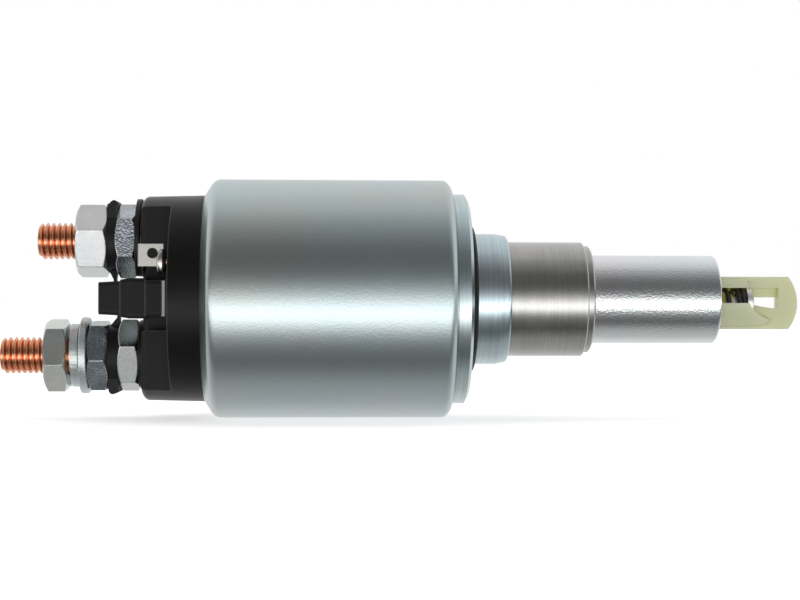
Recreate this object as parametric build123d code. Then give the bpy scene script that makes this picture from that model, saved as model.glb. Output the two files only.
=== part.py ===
from build123d import *
from math import cos, pi, radians, sin, sqrt, tan
import os

os.makedirs("parts", exist_ok=True)

# Starter solenoid, in millimetres. X runs along the armature towards the hook, and X = 0 is the
# mounting face of the front plate. Z points up through the short stud, and -Y is the front.
# Every piece is at rest: the armature is out, and the contact is open.

# Clearances
slip = 0.05               # radial play of pieces that are pushed together
running = 0.05            # radial play of pieces that slide
press_gap = 0.02          # what a pressed joint keeps in the model
rest_gap = 0.05           # between a moving piece and the stop that it rests on

# Case
case_radius = 31.4
case_wall = 2.4
case_length = 64.85
case_setback = 3.85       # from the mounting face back to the case's front rim
lip = 2.2                 # thickness of both rolled rims
back_rim = 4.2            # how far the rims reach in from the can's radius
front_rim = 3.65
back_rim_cone = (1.7, 2.7)    # how far the back rim's slope runs along X and in radius
front_rim_cone = (0.7, 2.0)
back_rim_bend = 2.6
front_rim_bend = 2.0

# Front plate and its seal
plate_thickness = 8.4
flange_chamfer = (0.8, 1.4)
collar_radius = 17.3
collar_length = 10.7
collar_lead_in = 2.0      # length of the collar's slow taper
collar_taper = 0.4        # how much radius the taper takes
collar_end_round = 1.0
o_ring_cord = 2.6
ring_groove = 0.25        # relief in the collar's foot, under the ring
ring_seat = 0.75          # relief in the flange's face, behind the ring
ring_margin = 0.3         # how far the seat reaches past the ring

# Guide sleeve and bobbin
sleeve_wall = 0.5
bobbin_tube = 1.2
bobbin_flange = 1.6
gasket_thickness = 0.9
pull_in_depth = 4.9       # radial depth of the inner winding; the outer one fills what is left
wrap_thickness = 0.5
wrap_clearance = 1.23     # between the wrap and the can
coil_gap = 0.1            # between the windings, their wrap and the bobbin's flanges

# Armature, nose and return spring
armature_radius = 15.17
armature_reach = 30.85    # from the mounting face to the end of the ground surface, at rest
armature_step = 1.85
armature_step_radius = 14.2
stroke = 13.5
pole_gap = 0.2            # what is left between armature and core at the end of the stroke
spring_pocket_radius = 8.4
armature_pocket = 12.0
core_pocket = 4.0
return_wire = 0.75        # radius of the wire
return_coil_radius = 7.0
return_turns = 8

nose_radius = 11.7
nose_length = 33.75
nose_edge = 0.8
shank_radius = 8.0
shank_length = 19.7
nose_lip = 2.0
lip_hole_radius = 8.4
root_bore_radius = 10.2
spring_bore_radius = 5.7
spring_bore_depth = 13.5

# Hook, its spring and the spring's seat
hook_drop = 0.9           # the loose hook lies this far below the armature's axis
hook_length = 22.5        # from the nose's face to the tip
hook_height = 14.0
hook_thickness = 4.4
hook_tip_radius = 11.4
root_radius = 9.2
root_thickness = 4.0
chamber_radius = 6.8      # outside of the round spring chamber
chamber_bore = 4.45
chamber_end = 11.0        # from the nose's face to where the chamber starts to fade into the tab
fade_length = 8.0
pocket_start = 8.4        # from the nose's face to the hollow that frees the lever beside the window
pocket_depth = 4.6        # from the hook's axis to the hollow's edge
window_end = 17.3         # from the nose's face to the far wall of the lever window
window_start = 10.4       # from the nose's face to the spring seat's face
window_half = 4.0
window_round = 0.6
wall_slope_start = 8.0    # from the nose's face to where the front wall's edge starts to fall
front_wall_drop = 1.35    # how far it falls along the window
back_wall_rise = 1.5
back_wall_step = 9.4      # from the nose's face to where the back wall's edge has risen
seat_travel = 6.0
seat_rim = 1.8
seat_stem_radius = 2.5
seat_stem = 4.7
release_wire = 0.65
release_coil_radius = 3.7
release_turns = 9

# Core and push rod
core_flange = 5.0
core_pole = 19.6
rod_radius = 3.0
rod_neck_radius = 2.5
shoulder_radius = 5.4
shoulder_thickness = 1.5
shoulder_pocket = 3.8
shoulder_pocket_radius = 7.0
rod_tip = 1.2             # what stands out past the clip
clip_thickness = 0.8
clip_radius = 4.9

# Contact bridge
contact_gap = 3.3
overtravel = 0.7
bridge_thickness = 2.5
bridge_end = 6.0          # from a stud's axis to the bar's end
bridge_width = 15.0
bush_flange = 1.2
bush_flange_radius = 5.6
bush_wall = 0.8
contact_wire = 0.6
contact_coil_radius = 4.6
contact_turns = 4
push_back_wire = 0.5
push_back_coil_radius = 4.1
push_back_turns = 3
push_back_solid = 3.8     # room that the small return spring keeps at full travel

# Cap
cap_draft = 0.45          # how much radius the cap loses towards its blocks
cap_shoulder = 4.1
disc_height = 10.4
block_height = 7.8
flat_offset = 12.6        # from the axis to the flats, front and back
block_low = 6.8           # from a stud's axis to its block's inner wall
block_edge = 1.5
cap_wall = 3.7
roof = 2.9
web_half = 7.2            # half the width of the web that joins the blocks
rod_pocket_radius = 6.0
seal_height = 1.2
seal_width = 2.6

# Studs and what is on them
head_margin = 0.9         # between a head's far edge and the chamber's wall, on the Z axis
shank_thread_radius = 4.51    # the thread inside the nuts, as a cylinder at its pitch diameter
thread_radius = 4.78          # the free thread, as a cylinder at its crests
thread_chamfer = 0.9
head_thickness = 4.5
head_proud = 0.5
head_width = 16.0
head_low = 5.4            # from the stud's axis to the head's edge near the centre
head_high = 7.6
short_stud_free = 10.2    # free thread past the last nut
long_stud_free = 11.65
nut_flats = 17.0
nut_face_radius = 8.4     # where the chamfer meets the nut's end face
nut_mouth = 0.6
full_nut = 8.0
thin_nut = 5.3
outer_nut = 5.9           # the nut on the spring washer
strip_thickness = 0.7
washer_thickness = 1.1
short_washer_radius = 11.15
long_washer_radius = 9.3
short_washer_flat = 9.2
long_washer_flat = 8.0
strap_at_short = 2.3
strap_at_long = 2.7
strap_flat_share = 7.7 / 15     # half of a flat eye's length over the stud's distance from the axis
strap_waist = 0.8         # thickness of the link between the eyes
strap_waist_half = 5.0    # half of the link's straight length
strap_waist_setback = 1.2
strap_eye_radius = 7.9
strap_tab_half = 5.2
strap_tab_reach = 12.0
strap_link_half = 1.2
strap_width_limit = 12.0
high_curl = ((0.4, 2.3), (-0.6, 2.9), (0.3, 1.9))       # the tips' outlines: along X from the strap's
low_curl = ((1.3, 2.3), (0.2, 1.7))                     # flat faces, and out from where it ends flat
flat_washer_thickness = 2.0
flat_washer_radius = 10.0
spring_washer_thickness = 2.0
spring_washer_radius = 8.3
spring_washer_rise = 1.3
washer_bore = 5.2

# Strip, solder joint and leads
strip_width = 5.8
strip_offset = 3.9        # from the short stud's axis down to the middle of the strip's tail
strip_ring_radius = 7.2
strip_tail = 5.9          # along the block's flat, from the block's face
strip_hole_radius = 1.35
strip_hole_back = 3.1     # from the block's face
lead_radius = 0.9
solder_size = (1.4, 1.6, 3.2)
solder_offset = 1.8       # from the middle of the tail down to the drop's middle
solder_inset = 0.4        # from the strip's end back to the drop's middle

# Connector
connector_y = -13.0
pad_height = 1.1
plate_sheet = 0.8
plate_half = (5.3, 4.5)
blade_length = 8.2
blade_width = 6.3
shroud_base = 4.2
shroud_base_half = (5.5, 4.65)
shroud_shoulder = 4.2     # length of the tall part past the base
shroud_step = 2.2
shroud_nozzle = 5.5
shroud_shoulder_half = (4.8, 5.15)
shroud_step_half = (4.5, 4.75)
shroud_nozzle_half = (4.2, 4.4)
shroud_mouth_half = (3.95, 4.1)
shroud_cavity_half = (2.35, 3.4)
shroud_round = 1.0
terminal_lead_at = (-17.2, -2.4)

# Places along X that follow from the sizes above
case_front = -case_setback
case_back = case_front - case_length
case_bore = case_radius - case_wall
flange_radius = case_radius - front_rim
cap_radius = case_radius - back_rim
chamber_wall_radius = cap_radius - cap_wall
plate_back = -plate_thickness
shoulder_x = case_back + lip
cap_open = shoulder_x + cap_shoulder
bobbin_back = cap_open + core_flange
bobbin_front = plate_back - gasket_thickness
pole_face = bobbin_back + core_pole
armature_back = pole_face + pole_gap + stroke
armature_front = armature_reach + armature_step
armature_floor = armature_back + armature_pocket
nose_front = armature_front + nose_length
root_front = nose_front - nose_lip - rest_gap
root_back = root_front - root_thickness
spring_bore_floor = root_back - spring_bore_depth
hook_tip = nose_front + hook_length
seat_face = nose_front + window_start
seat_back = seat_face - seat_rim

cap_face = shoulder_x - disc_height
block_face = cap_face - block_height
roof_x = cap_face + roof
contact_face = roof_x + head_proud
head_back = contact_face - head_thickness
bridge_back = contact_face + contact_gap
bridge_front = bridge_back + bridge_thickness
clip_front = bridge_back - bush_flange
clip_back = clip_front - clip_thickness
rod_back = clip_back - rod_tip
rod_travel = contact_gap + overtravel
push_back_floor = clip_back - rod_travel - push_back_solid
shoulder_stop = cap_open + shoulder_pocket
shoulder_front = shoulder_stop - rest_gap
shoulder_back = shoulder_front - shoulder_thickness
rod_front = armature_floor - stroke + rod_travel - 2 * rest_gap

ring_front = o_ring_cord - ring_seat
ring_outer_radius = collar_radius - ring_groove + slip + o_ring_cord
stud_z = chamber_wall_radius - head_margin - head_high
strap_flat = strap_flat_share * stud_z      # the strap is flat this far from each stud's axis
block_inner = stud_z - block_low
strip_centre = stud_z - strip_offset
solder_centre = strip_centre - solder_offset
sleeve_bore = armature_radius + running
sleeve_radius = sleeve_bore + sleeve_wall
tube_bore = sleeve_radius + slip
tube_radius = tube_bore + bobbin_tube
pull_in_radius = tube_radius + coil_gap + pull_in_depth
wrap_radius = case_bore - wrap_clearance
hold_in_radius = wrap_radius - wrap_thickness
disc_radius = case_bore - slip
head_front_edge = head_width / 2

# The two stacks of hardware, counted outwards from the blocks' faces
short_washer_x = block_face - strip_thickness
short_inner_nut_x = short_washer_x - washer_thickness
short_strap_x = short_inner_nut_x - thin_nut
short_nut_x = short_strap_x - strap_at_short
short_nut_end = short_nut_x - full_nut
short_stud_end = short_nut_end - short_stud_free

long_inner_nut_x = block_face - washer_thickness
long_strap_x = long_inner_nut_x - thin_nut
middle_nut_x = long_strap_x - strap_at_long
flat_washer_x = middle_nut_x - thin_nut
spring_washer_x = flat_washer_x - flat_washer_thickness
outer_nut_x = spring_washer_x - spring_washer_thickness - spring_washer_rise - rest_gap
outer_nut_end = outer_nut_x - outer_nut
long_stud_end = outer_nut_end - long_stud_free

# Connector, counted outwards from the cap's face
pad_x = cap_face - pad_height
plate_x = pad_x - plate_sheet
base_x = plate_x - shroud_base
shoulder_end_x = base_x - shroud_shoulder
nozzle_x = shoulder_end_x - shroud_step
mouth_x = nozzle_x - shroud_nozzle
blade_tip_x = plate_x - blade_length


def turned(points, axis_y=0.0, axis_z=0.0):
    """A turned piece about an axis along X, from its outline as (x, radius) points."""
    profile = make_face(Polyline(*points, close=True))
    return Pos(0, axis_y, axis_z) * revolve(profile, Axis.X)


def tube(x0, x1, outer, inner=0.0, y=0.0, z=0.0):
    """A plain cylinder or tube along X."""
    return turned([(x0, inner), (x1, inner), (x1, outer), (x0, outer)], y, z)


def block(x0, x1, y0, y1, z0, z1):
    """A rectangular block between two corners."""
    size = (abs(x1 - x0), abs(y1 - y0), abs(z1 - z0))
    return Pos((x0 + x1) / 2, (y0 + y1) / 2, (z0 + z1) / 2) * Box(*size)


def plate_outline(x0, x1, outline):
    """A sketch in Y and Z, made as thick as x0 to x1."""
    return Pos(min(x0, x1), 0, 0) * extrude(Plane.YZ * outline, abs(x1 - x0))


def coil(x0, x1, coil_radius, wire_radius, turns, z=0.0):
    """A coil spring along X whose wire just reaches from x0 to x1."""
    height = x1 - x0 - 2 * wire_radius
    path = Helix(height / turns, height, coil_radius, (x0 + wire_radius, 0, z), (1, 0, 0))
    return sweep((path ^ 0) * Circle(wire_radius), path=path, is_frenet=True)


def edges_at_x(solid, x):
    """The edges of a solid that lie in one plane across X."""
    return solid.edges().filter_by(lambda e: abs(e.center().X - x) < 1e-3 and e.bounding_box().size.X < 1e-3)


def case():
    """Steel can: one tube whose two rims are rolled in over the cap and the front plate."""
    back_lip_radius = cap_radius + 3 * slip
    front_lip_radius = flange_radius + 3 * slip
    bend_back = (case_back + back_rim_cone[0], back_lip_radius + back_rim_cone[1])
    bend_front = (case_front - front_rim_cone[0], front_lip_radius + front_rim_cone[1])
    profile = make_face(Polyline(
        (case_back, back_lip_radius),
        bend_back,
        (bend_back[0] + 0.9 * (case_radius - bend_back[1]), case_radius),
        (bend_front[0] - 0.8 * (case_radius - bend_front[1]), case_radius),
        bend_front,
        (case_front, front_lip_radius),
        (case_front - lip, front_lip_radius),
        (case_front - lip, case_bore),
        (shoulder_x, case_bore),
        (shoulder_x, back_lip_radius),
        close=True,
    ))
    back_corner = (bend_back[0] + 0.9 * (case_radius - bend_back[1]), case_radius, 0)
    front_corner = (bend_front[0] - 0.8 * (case_radius - bend_front[1]), case_radius, 0)
    for corner, bend in ((back_corner, back_rim_bend), (front_corner, front_rim_bend)):
        profile = fillet(profile.vertices().sort_by_distance(corner)[0], bend)
    return revolve(profile, Axis.X)


def front_plate():
    """Steel plate under the front rim, with the flange and the collar turned on it."""
    taper_start = collar_length - collar_end_round - collar_lead_in
    rounded_from = collar_length - collar_end_round
    end_radius = collar_radius - collar_taper
    outline = Polyline(
        (rounded_from, end_radius),
        (taper_start, collar_radius),
        (ring_front + slip, collar_radius),
        (ring_front + slip, collar_radius - ring_groove),
        (-ring_seat, collar_radius - ring_groove),
        (-ring_seat, ring_outer_radius + ring_margin),
        (0, ring_outer_radius + ring_margin),
        (0, flange_radius - flange_chamfer[1]),
        (-flange_chamfer[0], flange_radius),
        (case_front - lip, flange_radius),
        (case_front - lip, disc_radius),
        (plate_back, disc_radius),
        (plate_back, sleeve_radius + press_gap),
        (collar_length, sleeve_radius + press_gap),
        (collar_length, end_radius - collar_end_round),
    )
    rounding = RadiusArc((rounded_from, end_radius), (collar_length, end_radius - collar_end_round), collar_end_round)
    return revolve(make_face(outline + rounding), Axis.X)


def o_ring():
    """Rubber ring round the foot of the collar, in its relief."""
    cord = o_ring_cord / 2
    return revolve(Pos(ring_front - cord, ring_outer_radius - cord) * Circle(cord), Axis.X)


def guide_sleeve():
    """Thin brass tube from the core to the collar's end, where the armature slides."""
    return tube(bobbin_back, collar_length - 0.6, sleeve_radius, sleeve_bore)


def bobbin():
    """Plastic spool on the sleeve."""
    rim = disc_radius - coil_gap
    return turned([
        (bobbin_back, tube_bore),
        (bobbin_front, tube_bore),
        (bobbin_front, rim),
        (bobbin_front - bobbin_flange, rim),
        (bobbin_front - bobbin_flange, tube_radius),
        (bobbin_back + bobbin_flange, tube_radius),
        (bobbin_back + bobbin_flange, rim),
        (bobbin_back, rim),
    ])


def winding(inner, outer):
    """One winding, as the ring that its wire fills, with rounded corners."""
    x0 = bobbin_back + bobbin_flange + coil_gap
    x1 = bobbin_front - bobbin_flange - coil_gap
    ring = tube(x0, x1, outer, inner)
    corners = edges_at_x(ring, x0) + edges_at_x(ring, x1)
    return fillet(corners.filter_by(lambda e: e.radius > (inner + outer) / 2), 0.8)


def bobbin_gasket():
    """Rubber ring that keeps the bobbin from rattling."""
    return tube(bobbin_front, plate_back, disc_radius - 2.0, tube_radius + 1.0)


def core():
    """Fixed pole: a disc that closes the case and a round pole inside the sleeve."""
    body = turned([
        (cap_open, shoulder_pocket_radius),
        (cap_open, disc_radius),
        (bobbin_back, disc_radius),
        (bobbin_back, sleeve_bore - press_gap),
        (pole_face, sleeve_bore - press_gap),
        (pole_face, spring_pocket_radius),
        (pole_face - core_pocket, spring_pocket_radius),
        (pole_face - core_pocket, rod_radius + running),
        (shoulder_stop, rod_radius + running),
        (shoulder_stop, shoulder_pocket_radius),
    ])
    for y, z in lead_places():
        body -= tube(cap_open, bobbin_back, lead_radius + slip, y=y, z=z)
    return body


def armature():
    """Steel armature: spring pocket at the back, bore for the nose at the front."""
    chamfer_size = 0.5
    return turned([
        (armature_back, spring_pocket_radius),
        (armature_back, armature_radius - chamfer_size),
        (armature_back + chamfer_size, armature_radius),
        (armature_reach - 0.3, armature_radius),
        (armature_reach, armature_radius - 0.3),
        (armature_reach, armature_step_radius),
        (armature_front - 0.4, armature_step_radius),
        (armature_front, armature_step_radius - 0.4),
        (armature_front, shank_radius + press_gap),
        (armature_front - shank_length, shank_radius + press_gap),
        (armature_front - shank_length, 0),
        (armature_floor, 0),
        (armature_floor, spring_pocket_radius),
    ])


def nose():
    """Zinc-plated nose, pressed into the armature, whose rolled lip holds the hook's root."""
    body = turned([
        (armature_front - shank_length, 0),
        (armature_front - shank_length, shank_radius),
        (armature_front, shank_radius),
        (armature_front, nose_radius),
        (nose_front, nose_radius),
        (nose_front, lip_hole_radius),
        (nose_front - nose_lip, lip_hole_radius),
        (nose_front - nose_lip, root_bore_radius),
        (root_back - rest_gap, root_bore_radius),
        (root_back - rest_gap, spring_bore_radius),
        (spring_bore_floor, spring_bore_radius),
        (spring_bore_floor, 0),
    ])
    rim = edges_at_x(body, nose_front).filter_by(lambda e: e.radius > nose_radius - 0.1)
    return fillet(rim, nose_edge)


def hook():
    """Nylon hook: a flat tab with an arched tip, and a round chamber that the spring lies in.

    The front wall is cut away above the chamber's middle and the back wall below it, so that
    the hook looks the same when it is turned over about X, and the window runs through both.
    """
    x0 = nose_front
    half = hook_thickness / 2
    tip_chord = hook_tip - (hook_tip_radius - sqrt(hook_tip_radius ** 2 - (hook_height / 2) ** 2))
    tab_outline = Polyline(
        (tip_chord, hook_height / 2),
        (root_front, hook_height / 2),
        (root_front, -hook_height / 2),
        (tip_chord, -hook_height / 2),
    ) + ThreePointArc((tip_chord, -hook_height / 2), (hook_tip, 0), (tip_chord, hook_height / 2))
    tab = extrude(Plane.XZ * make_face(tab_outline), half, both=True)
    tab = fillet(tab.edges().filter_by(lambda e: abs(abs(e.center().Y) - half) < 1e-3), 0.4)

    fade_end = x0 + chamber_end + fade_length
    fade = Spline((x0 + chamber_end, chamber_radius), (fade_end, half), tangents=((1, 0), (1, -0.6)))
    straight = Polyline((fade_end, half), (fade_end, 0), (root_front, 0), (root_front, chamber_radius),
                        (x0 + chamber_end, chamber_radius))
    chamber = revolve(make_face(fade + straight), Axis.X)
    body = tab + chamber + tube(root_back, root_front, root_radius)
    body -= tube(root_back, seat_face + rest_gap, chamber_bore)

    hollow = lever_hollow(x0, fade_end + 1)
    body = body - hollow - Rot(180, 0, 0) * hollow
    end_x = x0 + window_end
    start_x = x0 + 0.2
    slope = window_end - wall_slope_start
    front_edge = Spline(
        (x0 + wall_slope_start, 0),
        (x0 + wall_slope_start + 0.32 * slope, -0.43 * front_wall_drop),
        (x0 + wall_slope_start + 0.65 * slope, -0.88 * front_wall_drop),
        (end_x, -front_wall_drop),
    )
    front_rest = Polyline(
        (end_x, -front_wall_drop),
        (end_x, window_half),
        (start_x, window_half),
        (start_x, 0),
        (x0 + wall_slope_start, 0),
    )
    back_rest = Polyline(
        (start_x, 0),
        (x0 + back_wall_step - back_wall_rise, 0),
        (x0 + back_wall_step, back_wall_rise),
        (end_x, back_wall_rise),
        (end_x, -window_half),
        (start_x, -window_half),
        close=True,
    )
    reach = chamber_radius + 1
    front_cut = extrude(Plane.XZ * make_face(front_edge + front_rest), reach)
    back_cut = extrude(Plane.XZ * make_face(back_rest), -reach)
    body = body - front_cut - back_cut
    return Pos(0, 0, -hook_drop) * body


def lever_hollow(x0, x1):
    """What the front of the chamber lacks beside the window, down to the tab's flat face."""
    length = window_end - pocket_start
    edge = Spline(
        (x0 + pocket_start, 0),
        (x0 + pocket_start + 0.43 * length, -0.81 * pocket_depth),
        (x0 + pocket_start + 0.88 * length, -0.98 * pocket_depth),
        (x1, -pocket_depth),
    )
    top = chamber_radius + 1
    rest = Polyline((x1, -pocket_depth), (x1, top), (x0 + pocket_start, top), (x0 + pocket_start, 0))
    return Pos(0, -hook_thickness / 2, 0) * extrude(Plane.XZ * make_face(edge + rest), top)


def spring_seat():
    """Steel cup on the release spring's end, which the lever bears on."""
    body = turned([
        (seat_back - seat_stem, 0),
        (seat_back - seat_stem, seat_stem_radius - 0.4),
        (seat_back - seat_stem + 0.4, seat_stem_radius),
        (seat_back, seat_stem_radius),
        (seat_back, chamber_bore - running),
        (seat_face - 0.5, chamber_bore - running),
        (seat_face - 0.1, chamber_bore - running - 0.5),
        (seat_face, chamber_bore - running - 1.6),
        (seat_face, 0),
    ])
    return Pos(0, 0, -hook_drop) * body


def push_rod():
    """Rod through the core: a neck for the contact, a shoulder and a plain shank."""
    return turned([
        (rod_back, 0),
        (rod_back, rod_neck_radius - 0.4),
        (rod_back + 0.4, rod_neck_radius),
        (shoulder_back, rod_neck_radius),
        (shoulder_back, shoulder_radius),
        (shoulder_front, shoulder_radius),
        (shoulder_front, rod_radius),
        (rod_front - 0.6, rod_radius),
        (rod_front, rod_radius - 0.6),
        (rod_front, 0),
    ])


def rod_clip():
    """Ring on the rod's neck that stops the contact."""
    return tube(clip_back, clip_front - rest_gap, clip_radius, rod_neck_radius + press_gap)


def contact_bridge():
    """Copper bar with rounded ends that joins the two stud heads."""
    outline = SlotOverall(2 * (stud_z + bridge_end), bridge_width, rotation=90)
    body = plate_outline(bridge_back, bridge_front, outline)
    return body - tube(bridge_back, bridge_front, rod_neck_radius + running + bush_wall + slip)


def bridge_bush():
    """Flanged plastic bush between the bar and the rod."""
    bore = rod_neck_radius + running
    return turned([
        (clip_front, bore),
        (clip_front, bush_flange_radius),
        (bridge_back, bush_flange_radius),
        (bridge_back, bore + bush_wall),
        (bridge_front, bore + bush_wall),
        (bridge_front, bore),
    ])


def bridge_washer():
    """Insulating washer between the bar and the contact spring."""
    return tube(bridge_front, bridge_front + bush_flange, bush_flange_radius, rod_neck_radius + running)


def lead_places():
    """Where the two winding leads run, as (y, z)."""
    strip_lead = (-flat_offset - strip_thickness - lead_radius, solder_centre)
    return (strip_lead, terminal_lead_at)


def winding_leads():
    """The lead to the strip and the lead to the blade terminal, straight through the cap."""
    ends = (block_face + strip_tail - 0.7, plate_x)
    leads = [tube(end, bobbin_back, lead_radius, y=y, z=z) for (y, z), end in zip(lead_places(), ends)]
    return Compound(children=leads)


def drum_radius(x):
    """The cap's radius at a place along its slightly tapered drum."""
    return cap_radius - cap_draft * (shoulder_x - x) / (shoulder_x - block_face)


def stud_block(side):
    """One stud's block: the drum's taper carried on, with a flat at the front and at the back."""
    x1 = cap_face + block_edge
    lengthened = turned([(block_face, 0), (block_face, drum_radius(block_face)), (x1, drum_radius(x1)), (x1, 0)])
    body = lengthened & block(block_face, x1, -flat_offset, flat_offset, side * block_inner, side * case_radius)
    return fillet(edges_at_x(body, block_face), block_edge)


def cap():
    """Moulded cap: a drum, two stud blocks, the web between them and a pad for the connector."""
    drum = turned([
        (cap_face, 0),
        (cap_face, drum_radius(cap_face)),
        (shoulder_x, cap_radius),
        (shoulder_x, disc_radius),
        (cap_open, disc_radius),
        (cap_open, 0),
    ])
    web_reach = block_inner + block_edge
    web = block(block_face, cap_face + 1, -web_half, web_half, -web_reach, web_reach)
    drum += fillet(web.edges().filter_by(Axis.Z).filter_by(lambda e: e.center().X < cap_face), block_edge)
    for side in (-1, 1):
        drum += stud_block(side)

    drum += block(pad_x, cap_face, connector_y - plate_half[0] - 0.3, connector_y + plate_half[0] + 0.3,
                  -plate_half[1] - 0.3, plate_half[1] + 0.3)

    drum -= tube(roof_x, cap_open, chamber_wall_radius)
    drum -= tube(push_back_floor, roof_x, rod_pocket_radius)
    drum -= tube(cap_open - seal_height, cap_open, disc_radius, disc_radius - seal_width)
    for side in (-1, 1):
        low, high = side * (stud_z - head_low - slip), side * (stud_z + head_high + slip)
        drum -= block(head_back, contact_face + slip, -head_front_edge - slip, head_front_edge + slip, low, high)
        drum -= tube(block_face, head_back, shank_thread_radius + slip, z=side * stud_z)
    for y, z in lead_places():
        drum -= tube(pad_x, roof_x, lead_radius + slip, y=y, z=z)
    return drum


def cap_seal():
    """Rubber ring between the cap and the core, in the cap's rebate."""
    return tube(cap_open - seal_height, cap_open, disc_radius - slip, disc_radius - seal_width + slip)


def stud(side, last_nut_end, end):
    """Copper stud: flat head in the cap, shank through the nuts and a free thread."""
    shaft = turned([
        (end, 0),
        (end, thread_radius - thread_chamfer),
        (end + thread_chamfer, thread_radius),
        (last_nut_end, thread_radius),
        (last_nut_end, shank_thread_radius),
        (head_back, shank_thread_radius),
        (head_back, 0),
    ], axis_z=side * stud_z)
    low, high = side * (stud_z - head_low), side * (stud_z + head_high)
    return shaft + block(head_back, contact_face, -head_front_edge, head_front_edge, low, high)


def nut(x, height, z, corner_angle):
    """Hexagon nut on a stud: from x outwards, chamfered at both ends.

    corner_angle turns it: the angle of one corner from the top towards the front.
    """
    corner_radius = nut_flats / sqrt(3)
    corners = []
    for k in range(6):
        angle = radians(corner_angle + 60 * k)
        corners.append((-corner_radius * sin(angle), z + corner_radius * cos(angle)))
    prism = plate_outline(x - height, x, make_face(Polyline(*corners, close=True)))
    drop = (corner_radius - nut_face_radius) * tan(radians(30))
    rounding = turned([
        (x, 0),
        (x, nut_face_radius),
        (x - drop, corner_radius + 1e-3),
        (x - height + drop, corner_radius + 1e-3),
        (x - height, nut_face_radius),
        (x - height, 0),
    ], axis_z=z)
    bore = shank_thread_radius + slip
    hole = turned([
        (x, 0),
        (x, bore + nut_mouth),
        (x - nut_mouth, bore),
        (x - height + nut_mouth, bore),
        (x - height, bore + nut_mouth),
        (x - height, 0),
    ], axis_z=z)
    return (prism & rounding) - hole


def insulating_washers():
    """Two black washers with one side cut straight, under the inner nuts."""
    places = (
        (short_washer_x, short_washer_radius, short_washer_flat, stud_z, -1),
        (block_face, long_washer_radius, long_washer_flat, -stud_z, -1),
    )
    washers = []
    for x, radius, flat, z, flat_side in places:
        ring = tube(x - washer_thickness, x, radius, shank_thread_radius + slip, z=z)
        edge = z + flat_side * flat
        ring -= block(x - washer_thickness - 1, x + 1, -radius, radius, edge, edge + flat_side * radius)
        washers.append(ring)
    return Compound(children=washers)


def strap():
    """Rubber strap with a broad eye on each stud, a thin waist and ends that curl to the cap."""
    up, down = (0, 1), (0, -1)
    flat = strap_flat
    high_tip = Spline(
        (short_strap_x, stud_z + flat),
        (short_strap_x + high_curl[0][0], stud_z + flat + high_curl[0][1]),
        (short_strap_x + high_curl[1][0], stud_z + flat + high_curl[1][1]),
        (short_nut_x + high_curl[2][0], stud_z + flat + high_curl[2][1]),
        (short_nut_x, stud_z + flat),
        tangents=(up, down),
    )
    low_tip = Spline(
        (middle_nut_x, -stud_z - flat),
        (middle_nut_x + low_curl[0][0], -stud_z - flat - low_curl[0][1]),
        (long_strap_x + low_curl[1][0], -stud_z - flat - low_curl[1][1]),
        (long_strap_x, -stud_z - flat),
        tangents=(down, up),
    )
    high_waist = short_nut_x + strap_waist_setback
    low_waist = long_strap_x - strap_waist
    back_edge = Polyline(
        (short_nut_x, stud_z - flat),
        (high_waist, strap_waist_half),
        (low_waist, -strap_waist_half),
        (middle_nut_x, -stud_z + flat),
    )
    front_edge = Polyline(
        (long_strap_x, -stud_z + flat),
        (low_waist + strap_waist, -strap_waist_half),
        (high_waist + strap_waist, strap_waist_half),
        (short_strap_x, stud_z - flat),
    )
    outline = (
        high_tip
        + Line(high_tip @ 1, back_edge @ 0)
        + back_edge
        + Line(back_edge @ 1, low_tip @ 0)
        + low_tip
        + Line(low_tip @ 1, front_edge @ 0)
        + front_edge
        + Line(front_edge @ 1, high_tip @ 0)
    )
    profile = make_face(outline)
    bends = profile.vertices().filter_by(lambda v: abs(abs(v.Y) - strap_waist_half) < 1e-3)
    slab = extrude(Plane.XZ * fillet(bends, 0.8), strap_width_limit, both=True)
    paddles = Rectangle(2 * strap_link_half, 2 * stud_z)
    for side in (-1, 1):
        paddles += Pos(0, side * stud_z) * Circle(strap_eye_radius)
        tab = Rectangle(2 * strap_tab_half, strap_tab_reach)
        paddles += Pos(0, side * (stud_z + strap_tab_reach / 2)) * fillet(tab.vertices(), 2.0)
    body = slab & plate_outline(short_nut_x - 2, long_strap_x + 2, paddles)
    for side in (-1, 1):
        body -= tube(short_nut_x - 3, long_strap_x + 3, shank_thread_radius + slip, z=side * stud_z)
    return body


def flat_washer():
    """Plain washer on the long stud."""
    ring = tube(spring_washer_x, flat_washer_x, flat_washer_radius, washer_bore, z=-stud_z)
    rims = ring.edges().filter_by(lambda e: e.geom_type == GeomType.CIRCLE and e.radius > washer_bore + 1)
    return fillet(rims, 0.35)


def spring_washer():
    """Split spring washer, relaxed: one turn of a flat bar that rises by spring_washer_rise."""
    width = spring_washer_radius - washer_bore
    middle = washer_bore + width / 2
    x0 = spring_washer_x - spring_washer_thickness / 2
    turn = 0.975
    path = Helix(spring_washer_rise / turn, spring_washer_rise, middle, (x0, 0, -stud_z), (-1, 0, 0))
    section = (path ^ 0) * Rectangle(width, spring_washer_thickness)
    ring = sweep(section, path=path, is_frenet=True)
    return ring


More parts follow.
